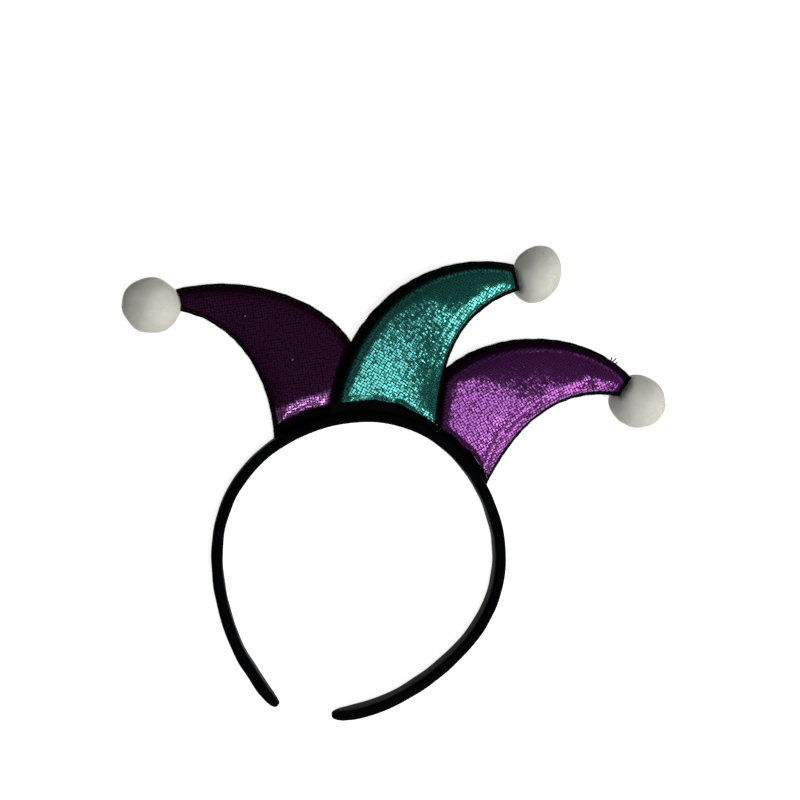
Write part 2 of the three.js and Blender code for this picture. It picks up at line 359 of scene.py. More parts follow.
def fibreMaterial(name, roughness, specular, pitch, detail, dark, light):
    # yarn or fibre whose shade wanders from dark to light, with patches about one pitch apart
    material, tree, shader = newMaterial(name, roughness, specular)
    place = addNode(tree, "ShaderNodeTexCoord").outputs["Object"]
    patches = addNode(tree, "ShaderNodeTexNoise", {
        "Vector": place, "Scale": 1 / (pitch * mm), "Detail": detail})
    colour = addNode(tree, "ShaderNodeMix", {
        0: patches.outputs[0], 6: toLinear(dark), 7: toLinear(light)}, data_type="RGBA")
    tree.links.new(colour.outputs[2], shader.inputs["Base Color"])
    return material, tree, shader, patches


def makeSatin():
    # black satin ribbon: long floats lie side by side, so it is dark with a soft streak of gloss
    material, tree, shader = fibreMaterial(
        "black satin ribbon", roughness=0.5, specular=0.02,
        pitch=9.0, detail=2.0, dark="#010102", light="#040609")[:3]
    place = addNode(tree, "ShaderNodeTexCoord").outputs["Object"]
    yarnPitch = 0.45 * mm  # drawn about twice the real spacing, so that it shows
    yarn = addNode(tree, "ShaderNodeTexNoise", {"Vector": place, "Scale": 1 / yarnPitch, "Detail": 3.0})
    bump = addNode(tree, "ShaderNodeBump", {
        "Height": yarn.outputs[0], "Strength": 0.35, "Distance": 0.08 * mm})
    tree.links.new(bump.outputs[0], shader.inputs["Normal"])
    return material


def makeFelt():
    # black felt: matted fibre with no weave, dull and a little grey where fibres stand up
    material, tree, shader, matted = fibreMaterial(
        "black felt", roughness=0.95, specular=0.03,
        pitch=0.5, detail=6.0, dark="#020203", light="#131316")
    matted.inputs["Roughness"].default_value = 0.7
    bump = addNode(tree, "ShaderNodeBump", {
        "Height": matted.outputs[0], "Strength": 0.6, "Distance": 0.2 * mm})
    tree.links.new(bump.outputs[0], shader.inputs["Normal"])
    return material


def makePile():
    # acrylic pile: fine cut fibres that scatter light, soft with no gloss
    return fibreMaterial(
        "white acrylic pile", roughness=1.0, specular=0.1,
        pitch=3.0, detail=4.0, dark="#ebebe4", light="#f9f9f5")[0]


def makeThread(name, dark, light):
    # spun polyester thread: slightly glossy twist
    return fibreMaterial(
        name, roughness=0.6, specular=0.5, pitch=0.4, detail=2.0, dark=dark, light=light)[0]


# the two purple lame materials are one cloth with colours set apart for how light falls on each horn: the
# left's foil is lighter so its strip above the hem glints brighter, the right's foil is darker to tone
# down its highlights, and their painted shade colours differ too
materials = {
    "left": makeLame(
        "purple lame, left horn", foil="#d08ee0", ground="#3a0a3d", paintedShadeColour="#1e0319", turn=0.5),
    "middle": makeLame(
        "green lame, middle horn", foil="#5fc3bd", ground="#084f48", paintedShadeColour="#041513", turn=-0.15),
    "right": makeLame(
        "purple lame, right horn", foil="#a360b4", ground="#4a1052", paintedShadeColour="#1f0620", turn=0.9),
    "satin": makeSatin(),
    "felt": makeFelt(),
    "pile": makePile(),
    "blackThread": makeThread("black sewing thread", "#050506", "#1a1a1d"),
    "paleThread": makeThread("pale loose thread", "#8d9096", "#c9ccd2"),
}
lameSlots = {"left": "purple_lame", "middle": "green_lame", "right": "purple_lame"}
print("materials made:", len(materials))


# hoop wrapped in satin

def bandSection(thickness, width):
    # rounded rectangle, across and up, anticlockwise from the outer side
    radius = min(hoopSizes["cornerRadius"], hoopSizes["cornerShare"] * min(thickness, width))
    turns = np.linspace(0, np.pi / 2, hoopSizes["cornerPoints"])
    points = []
    for corner, (sideX, sideY) in enumerate([(1, 1), (-1, 1), (-1, -1), (1, -1)]):
        for turn in turns + corner * np.pi / 2:
            points.append((sideX * (thickness / 2 - radius) + radius * math.cos(turn),
                           sideY * (width / 2 - radius) + radius * math.sin(turn)))
    return np.array(points)


def makeHoop():
    sizes = hoopSizes
    leftEnd = -sizes["radius"] * math.radians(sizes["leftTip"])
    rightEnd = sizes["radius"] * math.radians(sizes["rightTip"])
    runs = np.linspace(leftEnd, rightEnd, sizes["stations"])
    tipRuns = np.array(sizes["tipStations"])
    runs = np.unique(np.concatenate([runs, leftEnd + tipRuns, rightEnd - tipRuns]))
    rings = []
    nudge = 0.01
    for run in runs:
        angle = run / sizes["radius"]
        back = min(run - leftEnd, rightEnd - run)
        thickness = sizes["thickness"] * tableValue(back, sizes["tipBack"], sizes["tipThickness"])
        width = sizes["width"] * tableValue(back, sizes["tipBack"], sizes["tipWidth"])
        ahead = hoopPoint(np.array(angle + nudge)) - hoopPoint(np.array(angle - nudge))
        ahead /= norm(ahead)
        section = bandSection(thickness + 2 * sizes["wrap"], width)
        centre = hoopPoint(np.array(angle))
        outward = np.array([-ahead[1], ahead[0]])
        ring = np.column_stack([centre + section[:, :1] * outward, sizes["width"] / 2 + section[:, 1]])
        # the ribbon's lap stands up a little along the inner face
        inner = section[:, 0] < -thickness / 2 - sizes["wrap"] + sizes["innerFace"]
        fromLap = np.abs(section[:, 1] - sizes["lapOffset"])
        lap = sizes["lapHeight"] * eased(-fromLap, -sizes["lapWidth"], 0) * inner
        ring[:, :2] -= lap[:, None] * outward
        rings.append(ring)
    columns = len(rings[0])
    points = np.concatenate(rings)
    swell = smoothNoise(points, sizes["unevenPitch"], sizes["unevenSeed"]) * sizes["unevenness"]
    middle = np.repeat([ring.mean(0) for ring in rings], columns, axis=0)
    away = points - middle
    points = points + away / norm(away, axis=1)[:, None] * swell[:, None]
    points[:, 2] = np.maximum(points[:, 2], sizes["floorGap"])
    faces = gridFaces(len(rings), columns, wrap=True)
    for first, flip in ((0, False), ((len(rings) - 1) * columns, True)):
        centre = len(points)
        points = np.vstack([points, points[first:first + columns].mean(0)])
        for side in range(columns):
            face = (first + (side + 1) % columns, first + side, centre)
            faces.append(face[::-1] if flip else face)
    piece = meshPiece("satin_band", toFrame(points), faces, materials["satin"])
    finishPiece(piece, "black_satin", "headband")


# horns

leftBulging = {
    "tipOver": 1.0,
    "bulge": -1,
    "crest": (-0.8, 0.45),
    "crestTurn": (0.45, 0.8),
    "front": (4.8, 7.8, 7.2, 5.0, 3.6, 1.8),
    "baseFall": 0.0,
    "hollowShade": 0.6,
    "baseFlat": 1.5,
    "paintedShadeAllOver": 0.0,
}

hornSizes = {
    "left": {
        "leftEdge": [(-51, 32), (-59.5, 57.5), (-81, 81.5), (-110, 77)],
        "rightEdge": [(-31, 59.5), (-13.2, 97.7), (-74.5, 113.6), (-115, 85)],
        "seam": (4.2, 12.5),
        "pompom": (-122, 75),
        "pompomGirth": (1.0, 0.97),
        "tipOver": 0.0,  # 1 where the tip lies over the pile, 0 where it goes into it
        "bulge": 1,  # side of the bulging edge, across
        "crest": (-0.75, -0.75),  # across, where the padding is highest, near the base and near the tip
        "crestTurn": (0.45, 0.8),  # along, where the crest goes over from one to the other
        "front": (7.6, 7.3, 6.3, 4.8, 3.6, 1.8),
        "baseFall": 0.3,  # share of the height lost towards the hem
        "hollowShade": 2.4,
        "baseFlat": 4.0,  # how much flatter across it is near the hem
        "paintedShadeAllOver": 0.97,  # painted shade over the whole cover, but for a strip above the hem
    },
    "middle": {
        "leftEdge": [(-34, 55.5), (-48, 94.5), (-27, 140), (16.5, 147)],
        "rightEdge": [(15, 60.5), (4.5, 87.5), (-3.5, 116.5), (23, 137.5)],
        "seam": (7.5, 15),
        "pompom": (28, 147),
        "pompomGirth": (0.87, 1.08),
        **leftBulging,
    },
    "right": {
        "leftEdge": [(10, 65), (-17.8, 94.6), (42.7, 140.9), (84, 119.5)],
        "rightEdge": [(42, 46.5), (43.5, 74), (50.5, 103.5), (81.5, 110)],
        "seam": (4.2, 16.5),
        "pompom": (91.5, 111),
        "pompomGirth": (1.06, 0.98),
        **leftBulging,
        "crestTurn": (0.22, 0.56),
    },
}

paddingSizes = {
    "frontAlong": (0, 0.45, 0.62, 0.85, 0.96, 1),
    "backAlong": (0, 0.3, 0.6, 0.85, 0.96, 1),
    "back": (0.8, 2.2, 2.4, 2, 1.4, 0.6),
    "flatness": 2.2,  # of the slope down to each edge
    "roundness": 0.38,
    "flatEnd": (0.15, 0.4),  # along, where the flatter base ends
    "seamRise": 1.4,
    "baseRound": 0.9,
    "baseReach": 14.0,
    "baseCurve": 1.8,
    "tipRound": 3.0,
    "tipFall": 0.8,  # how far the height goes down at the tip, 1 for all of it
    "clothEdge": 0.3,
    "clothGap": 0.1,  # least height of a pressed cover
    "underGap": 0.3,  # from a side horn's cloth to the middle horn's felt
    "pressedRoll": 2.4,
    "pressedHold": 0.6,  # past the middle horn's outline, as far as the cloth is held down
    "rows": 112,
    "columns": 45,
    "edgeCrowding": 1.25,  # columns lie closer towards the edges
    "endCrowding": 0.06,  # rows lie closer towards both ends
    "startFill": 0.88,  # the cover starts a little slack and swells
    "swellCap": 1.3,
    "smoothings": 6,
    "seamHold": 6.0,
    "simScale": 0.1,  # the simulation runs with 10 mm as its unit
    "frames": 20,
}

clothSettings = {
    "quality": 6,
    "mass": 0.15,
    "tension_stiffness": 14,
    "compression_stiffness": 14,
    "shear_stiffness": 6,
    "bending_stiffness": 0.6,
    "use_pressure": True,
    "uniform_pressure_force": 1.0,
    "vertex_group_mass": "sewn",
    "shrink_min": -0.03,  # a little slack
}

# painted shade on the lame: distances from an edge between which it fades in
paintedShadeReach = {
    "bulgeShade": (5.0, 2.0),
    "hollowFull": 0.2,  # share of a horn's own hollowShade
    "hemShade": (1.3, 0.7),
    "underShade": (4.0, 1.0),
    "stripStart": (0.4, 1.4),
    "stripEnd": (4.0, 7.5),
}

feltSizes = {
    "thickness": 1.5,
    "flange": 1.5,
    "gap": 0.3,
    "hemLeft": 4.5,
    "hemRight": 2.0,
    "hemAngles": (-15.0, 10.0),
    "hemWave": 0.3,
    "hemWavePitch": 2.5,
    "hemWaveSeed": 21,
    "underWrap": 0.3,
    "underGap": 0.6,  # from a side horn's felt to the middle horn's
    "freeRise": 40.0,  # that limit goes far up past the middle horn's outline
    "freeReach": 8.0,
    "rows": 120,
    "columns": 41,
    "trimZone": 0.8,  # across, where the cut edge begins to waver
    "trimWave": 0.12,
    "trimPitch": 6.0,
    "trimSeed": 11,
}

puckerSizes = {"along": 0.18, "across": 0.1, "length": 2.4, "width": 0.8, "depth": 0.7, "overSeam": 1.0}


def evenCurve(pulls, shares, samples=401):
    # point at a share of the length of a four-point curve
    turn = np.linspace(0, 1, samples)[:, None]
    back = 1 - turn
    start, low, high, end = np.array(pulls, float)
    path = back ** 3 * start + 3 * back ** 2 * turn * low + 3 * back * turn ** 2 * high + turn ** 3 * end
    run = np.concatenate([[0], np.cumsum(norm(np.diff(path, axis=0), axis=1))])
    shares = np.asarray(shares) * run[-1]
    return np.stack([np.interp(shares, run, path[:, axis]) for axis in (0, 1)], -1)


def hornEdges(horn, along):
    return evenCurve(horn["leftEdge"], along), evenCurve(horn["rightEdge"], along)


def halfWidth(horn, along):
    left, right = hornEdges(horn, along)
    return norm(right - left, axis=-1) / 2


def hornSpots(horn, along, across, inset):
    # places in plan, with across -1 and 1 on the edges less an inset
    left, right = hornEdges(horn, along)
    half = halfWidth(horn, along)[..., None]
    reach = np.asarray(across)[..., None] * (half - inset)
    return (left + right) / 2 + (right - left) / (2 * half) * reach


def seamHeight(horn, along):
    base, tip = horn["seam"]
    return base + (tip - base) * along ** paddingSizes["seamRise"]


def paddingShare(horn, along, across):
    # slopes from the crest down to both edges
    atBase, atTip = horn["crest"]
    crest = atBase + (atTip - atBase) * eased(along, *horn["crestTurn"])
    across = np.clip(across, -1, 1)
    fall = np.where(across > crest, (across - crest) / (1 - crest), (crest - across) / (1 + crest))
    flatness = paddingSizes["flatness"] + horn["baseFlat"] * (1 - eased(along, *paddingSizes["flatEnd"]))
    return (1 - fall ** flatness) ** paddingSizes["roundness"]


def hemWidth(angle):
    share = eased(np.degrees(angle), *feltSizes["hemAngles"])
    return feltSizes["hemLeft"] * (1 - share) + feltSizes["hemRight"] * share


def bandEdge(angle):
    # felt runs up to the band and a little under its wrapping
    return np.full_like(angle, -feltSizes["underWrap"])


def raggedHem(angle):
    # the cloth's cut edge above the hem is not quite even
    along = np.stack([angle * hoopSizes["radius"], 0 * angle], -1)
    wave = smoothNoise(along, feltSizes["hemWavePitch"], feltSizes["hemWaveSeed"])
    return hemWidth(angle) + feltSizes["hemWave"] * wave


def beyondBand(spots, margin):
    # how far a point in plan lies outside the hoop and a margin round it
    angle = np.arctan2(spots[..., 0], spots[..., 1])
    return norm(spots, axis=-1) - hoopReach(angle) - hoopSizes["thickness"] / 2 - margin(angle)


def startShares(horn, across, inset, margin):
    # where each line along the horn comes out from behind the hem
    steps = np.linspace(0, 0.6, 241)  # the hem crosses only the first part of a horn
    along = np.repeat(steps[:, None], len(across), axis=1)
    spots = hornSpots(horn, along, np.repeat(across[None], len(steps), axis=0), inset)
    beyond = beyondBand(spots, margin)
    inside = beyond < 0
    last = np.minimum(len(steps) - 1 - np.argmax(inside[::-1], axis=0), len(steps) - 2)
    lines = np.arange(len(across))
    low, high = beyond[last, lines], beyond[last + 1, lines]
    crossing = steps[last] + (steps[1] - steps[0]) * low / np.minimum(low - high, -1e-9)
    return np.where(inside.any(0), crossing, 0.0)


def hornGrid(horn, rows, columns, inset, margin, end):
    crowding = paddingSizes["edgeCrowding"]
    across = np.sin(np.linspace(-1, 1, columns) * crowding) / math.sin(crowding)
    start = startShares(horn, across, inset, margin)
    rowShare = np.linspace(0, 1, rows)
    rowShare = rowShare - paddingSizes["endCrowding"] * np.sin(2 * np.pi * rowShare)
    along = start[None] + (end - start[None]) * rowShare[:, None]
    across = np.repeat(across[None], rows, axis=0)
    return along, across, hornSpots(horn, along, across, inset), halfWidth(horn, along)


def outlineOf(horn):
    left, right = hornEdges(horn, np.linspace(0, 1, 120))
    return np.concatenate([left, right[::-1]])


def insideDistance(spots, outline):
    # distance to an outline, positive inside it
    flat = spots.reshape(-1, 2)
    nearest = np.full(len(flat), 1e9)
    inside = np.zeros(len(flat), bool)
    for start, end in zip(outline, np.roll(outline, -1, axis=0)):
        edge = end - start
        share = np.clip((flat - start) @ edge / max(edge @ edge, 1e-12), 0, 1)
        nearest = np.minimum(nearest, norm(flat - start - share[:, None] * edge, axis=1))
        crosses = (start[1] > flat[:, 1]) != (end[1] > flat[:, 1])
        if crosses.any():
            at = start[0] + (flat[:, 1] - start[1]) / (edge[1] if edge[1] else 1e-12) * edge[0]
            inside ^= crosses & (flat[:, 0] < at)
    return np.where(inside, nearest, -nearest).reshape(spots.shape[:-1])


def insideMiddle(spots):
    return insideDistance(spots, outlineOf(hornSizes["middle"]))


def feltTop(horn, along, across, half):
    back = tableValue(along, paddingSizes["backAlong"], paddingSizes["back"])
    padded = np.clip(across * half / (half - feltSizes["flange"]), -1, 1)
    return seamHeight(horn, along) - feltSizes["gap"] - back * paddingShare(horn, along, padded)


def middleUnderside(spots):
    # underside of the middle horn's felt over each point, carried on past its outline
    middle = hornSizes["middle"]
    shares = np.linspace(0, 1, 90)
    left, right = hornEdges(middle, shares)
    half = halfWidth(middle, shares)
    centre = (left + right) / 2
    apart = spots[..., None, :] - centre
    nearest = np.argmin(norm(apart, axis=-1), axis=-1)
    sideways = ((right - left) / (2 * half[:, None]))[nearest]
    across = ((spots - centre[nearest]) * sideways).sum(-1) / half[nearest]
    top = feltTop(middle, shares[nearest], np.clip(across, -1, 1), half[nearest])
    return top - feltSizes["thickness"]


def underMiddle(spots, tops):
    # side horns are pressed down where they go in under the middle one
    gap = paddingSizes["underGap"]
    ceiling = middleUnderside(spots) - gap
    away = np.clip((-insideMiddle(spots) - gap) / paddingSizes["pressedRoll"], 0, 1)
    bulge = np.sqrt(1 - (1 - away) ** 2)
    return np.where(tops > ceiling, ceiling + (tops - ceiling) * bulge, tops)


def coverHeights(name, along, across, spots, end, run):
    # the cover's upper and lower sides before it swells
    horn = hornSizes[name]
    sizes = paddingSizes
    front = tableValue(along / end, sizes["frontAlong"], horn["front"])
    back = tableValue(along / end, sizes["backAlong"], sizes["back"])
    fromHem = beyondBand(spots, raggedHem)
    inBase = 1 - np.clip(fromHem / sizes["baseRound"], 0, 1)
    nearBase = 1 - np.clip(fromHem / sizes["baseReach"], 0, 1)
    inTip = 1 - np.clip((end - along) * run / sizes["tipRound"], 0, 1)
    rounded = np.sqrt(1 - inBase ** 2) * np.sqrt(1 - sizes["tipFall"] * inTip ** 2)
    rounded = rounded * (1 - horn["baseFall"] * nearBase ** sizes["baseCurve"])
    padded = paddingShare(horn, along, across)
    seam = seamHeight(horn, along)
    tops = seam + sizes["clothEdge"] + front * padded * rounded * sizes["startFill"]
    bottoms = seam - back * padded * rounded
    if name != "middle":
        tops = underMiddle(spots, tops)
        bottoms = np.minimum(bottoms, tops - sizes["clothGap"])
    return tops, bottoms


def sewCover(spots, tops, bottoms):
    # front first, then the back without its rim, which is the front's
    rows, columns = tops.shape
    inner = raised(spots, bottoms)[1:-1, 1:-1]
    points = np.concatenate([raised(spots, tops).reshape(-1, 3), inner.reshape(-1, 3)])
    back = np.arange(tops.size).reshape(rows, columns)
    back[1:-1, 1:-1] = np.arange(tops.size, len(points)).reshape(rows - 2, columns - 2)
    back = back.ravel()
    faces = gridFaces(rows, columns)
    faces += [tuple(int(back[corner]) for corner in face[::-1]) for face in faces]
    return points, faces


def swellCover(name, points, faces, sewn):
    # cloth with pressure inside, held along its sewn edge; points are millimetres
    scale = paddingSizes["simScale"]
    cover = meshPiece(name, points * scale, faces)
    group = cover.vertex_groups.new(name="sewn")
    group.add(np.flatnonzero(sewn).tolist(), 1.0, "REPLACE")
    cloth = cover.modifiers.new("swell", "CLOTH")
    for setting, value in clothSettings.items():
        setattr(cloth.settings, setting, value)
    cloth.settings.effector_weights.gravity = 0
    cloth.point_cache.frame_end = paddingSizes["frames"]
    for step in range(1, paddingSizes["frames"] + 1):
        scene.frame_set(step)
    graph = bpy.context.evaluated_depsgraph_get()
    swollen = pointsOf(cover.evaluated_get(graph).to_mesh())
    bpy.data.objects.remove(cover)
    scene.frame_set(1)
    move = swollen / scale - points
    far = norm(move, axis=1)[:, None]
    print(name, "swelled by up to", round(float(far.max()), 2), "mm")
    return points + move * np.minimum(1, paddingSizes["swellCap"] / np.maximum(far, 1e-9))


def frontSwelling(name, points, faces, spots, inFromEdge):
    # how far each point of the front moves
    free = np.zeros(inFromEdge.shape, bool)
    free[1:-1, 1:-1] = True
    if name != "middle":
        free &= insideMiddle(spots) <= -paddingSizes["pressedHold"]
    sewn = np.ones(len(points), bool)
    sewn[:free.size] = ~free.ravel()
    swollen = swellCover("cover_" + name, points, faces, sewn)
    move = (swollen - points)[:free.size].reshape(*free.shape, 3)
    for smoothing in range(paddingSizes["smoothings"]):
        move[1:-1] = (move[:-2] + 2 * move[1:-1] + move[2:]) / 4
        move[:, 1:-1] = (move[:, :-2] + 2 * move[:, 1:-1] + move[:, 2:]) / 4
    # the sewn edges hold the cloth down
    move *= eased(inFromEdge, 0.0, paddingSizes["seamHold"])[..., None]
    return move.reshape(-1, 3)


def nearEdge(gap, far, near):
    # 0 further than far from an edge, 1 nearer than near
    return eased(-gap, -far, -near)


def paintFoilShade(name, across, half, spots):
    # painted shade over the front: darker near the seams, at the hem, under the middle horn and, on the
    # left horn, all over but for a strip above the hem
    horn = hornSizes[name]
    edgeGap = (1 - np.abs(across)) * (half - feltSizes["flange"])
    fromHem = beyondBand(spots, raggedHem)
    hollow = nearEdge(edgeGap, horn["hollowShade"], paintedShadeReach["hollowFull"] * horn["hollowShade"])
    bulging = nearEdge(edgeGap, *paintedShadeReach["bulgeShade"])
    shade = np.where(across * horn["bulge"] > 0, bulging, hollow)
    shade = np.maximum(shade, nearEdge(fromHem, *paintedShadeReach["hemShade"]))
    if name != "middle":
        shade = np.maximum(shade, nearEdge(-insideMiddle(spots), *paintedShadeReach["underShade"]))
    strip = eased(fromHem, *paintedShadeReach["stripStart"]) * (1 - eased(fromHem, *paintedShadeReach["stripEnd"]))
    return np.maximum(shade, horn["paintedShadeAllOver"] * (1 - strip))


def puckerCover(horn, points):
    # one stitch through the wadding pulls the cloth into a short crease
    sizes = puckerSizes
    step = 0.02
    path = hornSpots(horn, sizes["along"] + np.array([0, step]), np.full(2, sizes["across"]), 0.0)
    ahead = (path[1] - path[0]) / norm(path[1] - path[0])
    sideways = np.array([-ahead[1], ahead[0]])
    apart = points[:, :2] - path[0]
    far = (apart @ ahead / sizes["length"]) ** 2 + (apart @ sideways / sizes["width"]) ** 2
    top = points[:, 2] > seamHeight(horn, sizes["along"]) + sizes["overSeam"]
    points[:, 2] -= sizes["depth"] * np.exp(-far) * top


def makeCover(name):
    # lame cover stuffed with wadding, and its flat back against the felt
    horn = hornSizes[name]
    rightEdge = evenCurve(horn["rightEdge"], np.linspace(0, 1, 200))
    run = norm(np.diff(rightEdge, axis=0), axis=1).sum()
    end = 1 - feltSizes["flange"] / run
    along, across, spots, half = hornGrid(
        horn, paddingSizes["rows"], paddingSizes["columns"], feltSizes["flange"], raggedHem, end)
    tops, bottoms = coverHeights(name, along, across, spots, end, run)
    points, faces = sewCover(spots, tops, bottoms)
    points[:tops.size] += frontSwelling(name, points, faces, spots, (1 - np.abs(across)) * half)
    if name == "middle":
        puckerCover(horn, points)
    piece = meshPiece("lame_" + name, toFrame(points), faces, materials[name])
    # painted shade along the seams, at the hem, under the middle horn and over most of the left horn
    shade = np.zeros(len(points))
    shade[:tops.size] = paintFoilShade(name, across, half, spots).ravel()
    setPointValue(piece, "paintedShadeMap", shade)
    smooth = piece.modifiers.new("smooth", "SUBSURF")
    smooth.levels = smooth.render_levels = 1
    finishPiece(piece, lameSlots[name], "horn_" + name)


def makeFeltBacking(name):
    # felt cut to the horn's outline, dished to hold the wadding
    horn = hornSizes[name]
    sizes = feltSizes
    rows, columns = sizes["rows"], sizes["columns"]
    along, across, spots, half = hornGrid(horn, rows, columns, 0.0, bandEdge, 1.0)
    zone = sizes["trimZone"]
    edge = np.clip((np.abs(across) - zone) / (1 - zone), 0, 1)
    seam = raised(spots, seamHeight(horn, along))
    trim = smoothNoise(seam, sizes["trimPitch"], sizes["trimSeed"]) * sizes["trimWave"]
    sideways = np.gradient(spots, axis=1)
    sideways /= norm(sideways, axis=-1)[..., None]
    spots = spots + sideways * (np.sign(across) * edge * trim)[..., None]
    tops = feltTop(horn, along, across, half)
    if name != "middle":
        free = sizes["freeRise"] * eased(-insideMiddle(spots), 0.0, sizes["freeReach"])
        tops = np.minimum(tops, middleUnderside(spots) + free - sizes["underGap"])
    upper = raised(spots, tops).reshape(-1, 3)
    lower = upper - [0, 0, sizes["thickness"]]
    count = rows * columns
    faces = gridFaces(rows, columns) + gridFaces(rows, columns, count, flip=True)
    index = np.arange(count).reshape(rows, columns)
    border = np.concatenate([index[0, :-1], index[:-1, -1], index[-1, :0:-1], index[:0:-1, 0]])
    for here, beside in zip(border, np.roll(border, -1)):
        faces.append((int(beside), int(here), int(here + count), int(beside + count)))
    points = np.concatenate([upper, lower])
    piece = meshPiece("felt_" + name, toFrame(points), faces, materials["felt"])
    finishPiece(piece, "black_felt", "backing_" + name)
    return piece, upper[border, :2]


# fibres: pile on the pompoms and fuzz on the felt

def makeFibreTree():
    fullTurn = 6.28
    shortest = 0.6  # share of the longest fibre
    tree, given = newTree("standing fibres", [
        ("Density", "Float"), ("Length", "Float"), ("Thickness", "Float"), ("Lean", "Float"),
        ("Seed", "Int"), ("Material", "Material")])
    cover = addNode(tree, "GeometryNodeInputNamedAttribute", {"Name": "cover"}, data_type="FLOAT")
    spread = addNode(tree, "ShaderNodeMath", {
        0: given["Density"], 1: cover.outputs[0]}, operation="MULTIPLY")
    roots = addNode(tree, "GeometryNodeDistributePointsOnFaces", {
        "Mesh": given["Geometry"], "Density": spread.outputs[0], "Seed": given["Seed"]})
    high = addNode(tree, "ShaderNodeCombineXYZ", {0: given["Lean"], 1: given["Lean"], 2: fullTurn})
    low = addNode(tree, "ShaderNodeVectorMath", {0: high.outputs[0], 1: (-1, -1, 0)}, operation="MULTIPLY")
    lean = addNode(tree, "FunctionNodeRandomValue", {
        0: low.outputs[0], 1: high.outputs[0], "Seed": given["Seed"]}, data_type="FLOAT_VECTOR")
    turn = addNode(tree, "FunctionNodeEulerToRotation", {0: lean.outputs[0]})
    aimed = addNode(tree, "FunctionNodeRotateRotation", {
        0: roots.outputs["Rotation"], 1: turn.outputs[0]}, rotation_space="LOCAL")
    fibre = addNode(tree, "GeometryNodeMeshCone", {
        "Vertices": 3, "Side Segments": 1, "Radius Top": 0.3, "Radius Bottom": 1.0, "Depth": 1.0},
        fill_type="NONE")
    shorter = addNode(tree, "ShaderNodeMath", {0: given["Length"], 1: shortest}, operation="MULTIPLY")
    tall = addNode(tree, "FunctionNodeRandomValue", {
        2: shorter.outputs[0], 3: given["Length"], "Seed": given["Seed"]}, data_type="FLOAT")
    plantTree(tree, given, roots.outputs[0], fibre.outputs[0], aimed.outputs[0], tall.outputs[1])
    return tree


fibreTree = makeFibreTree()


def growFibres(piece, sizes, seed, material):
    growTree(piece, fibreTree, {
        "Density": sizes["perSquareMm"] / mm ** 2, "Length": sizes["length"] * mm,
        "Thickness": sizes["thickness"] * mm, "Lean": sizes["lean"], "Seed": seed, "Material": material})
    print(piece.name, "with", len(piece.data.polygons) // 3, "fibres")


pileSizes = {"length": 0.9, "thickness": 0.045, "lean": 0.6, "perSquareMm": 12.0}

pompomSizes = {
    "radius": 11.95,
    "lump": 0.2,
    "lumpPitch": 10.0,
    "detail": 5,
    "firstSeed": 5,
    # in lengths of the pile: how deep the ball lies in it, least height over the floor, bare below this
    "sunk": 0.5,
    "floorGap": 0.4,
    "bareBelow": 1.2,
    # room for the horn's tip
    "tipAlong": 0.95,
    "tipRoom": 2.0,
    "tipEdge": (-1.6, 0.4),  # inside the horn's outline, where the pile begins to be pressed and is flat
    "barePressed": 0.2,
}


def makePompom(name, seed):
    # pile cut to a ball, pressed in where the horn's tip is sewn to it
    horn = hornSizes[name]
    sizes = pompomSizes
    length = pileSizes["length"]
    bpy.ops.mesh.primitive_ico_sphere_add(subdivisions=sizes["detail"], radius=1)
    ball = bpy.context.object
    ball.name = "pompom_core_" + name
    unit = pointsOf(ball.data)
    lumps = smoothNoise(unit * sizes["radius"], sizes["lumpPitch"], seed) * sizes["lump"]
    low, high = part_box("pompom_" + name)
    middle = np.array([horn["pompom"][0], horn["pompom"][1], (low.z + high.z) / 2 / mm])
    girth = np.array([*horn["pompomGirth"], 1.0])
    points = middle + unit * girth * (sizes["radius"] - length * sizes["sunk"] + lumps)[:, None]
    depth = insideDistance(points[:, :2], outlineOf(horn))
    underside = seamHeight(horn, sizes["tipAlong"]) - feltSizes["gap"] - feltSizes["thickness"]
    underside -= sizes["tipRoom"]
    pressed = eased(depth, *sizes["tipEdge"]) * horn["tipOver"]
    above = points[:, 2] > underside
    points[:, 2] = np.where(above, points[:, 2] * (1 - pressed) + underside * pressed, points[:, 2])
    points[:, 2] = np.maximum(points[:, 2], length * sizes["floorGap"])
    ball.data.vertices.foreach_set("co", toFrame(points).ravel())
    ball.data.polygons.foreach_set("use_smooth", [True] * len(ball.data.polygons))
    ball.data.materials.append(materials["pile"])
    bare = above & (pressed > sizes["barePressed"])
    bare |= points[:, 2] < length * sizes["bareBelow"]
    setPointValue(ball, "cover", np.where(bare, 0.0, 1.0))
    pile = addObject("pompom_pile_" + name, ball.data.copy())
    growFibres(pile, pileSizes, seed, materials["pile"])
    finishPiece(ball, "white_pile", "pompom_" + name)
    finishPiece(pile, "white_pile", "pompom_" + name)


# felt's fuzz, stitches and loose ends

fuzzSizes = {
    "length": 0.7,
    "thickness": 0.025,
    "lean": 0.9,
    "perSquareMm": 7.0,
    "fade": (0.3, 1.7),  # inwards from the cut edge
    "seed": 31,
}


def makeFuzz(name, felt):
    # fibres stand out along the cut edge of the felt
    horn = hornSizes[name]
    fuzz = addObject("fuzz_" + name, felt.data.copy())
    spots = (pointsOf(felt.data) - hoopCentre)[:, :2] / mm
    inward = insideDistance(spots, outlineOf(horn))
    setPointValue(fuzz, "cover", 1 - eased(inward, *fuzzSizes["fade"]))
    growFibres(fuzz, fuzzSizes, fuzzSizes["seed"], materials["felt"])
    finishPiece(fuzz, "black_felt")
    return fuzz


stitchSizes = {
    "pitch": 2.4,
    "length": 1.7,
    "thickness": 0.32,
    "outward": 0.35,
    "lift": 0.12,
    "fromHem": 0.01,  # along, past the hem
    "end": 0.985,
    "pathPoints": 160,
    "clearOfMiddle": 1.0,
}


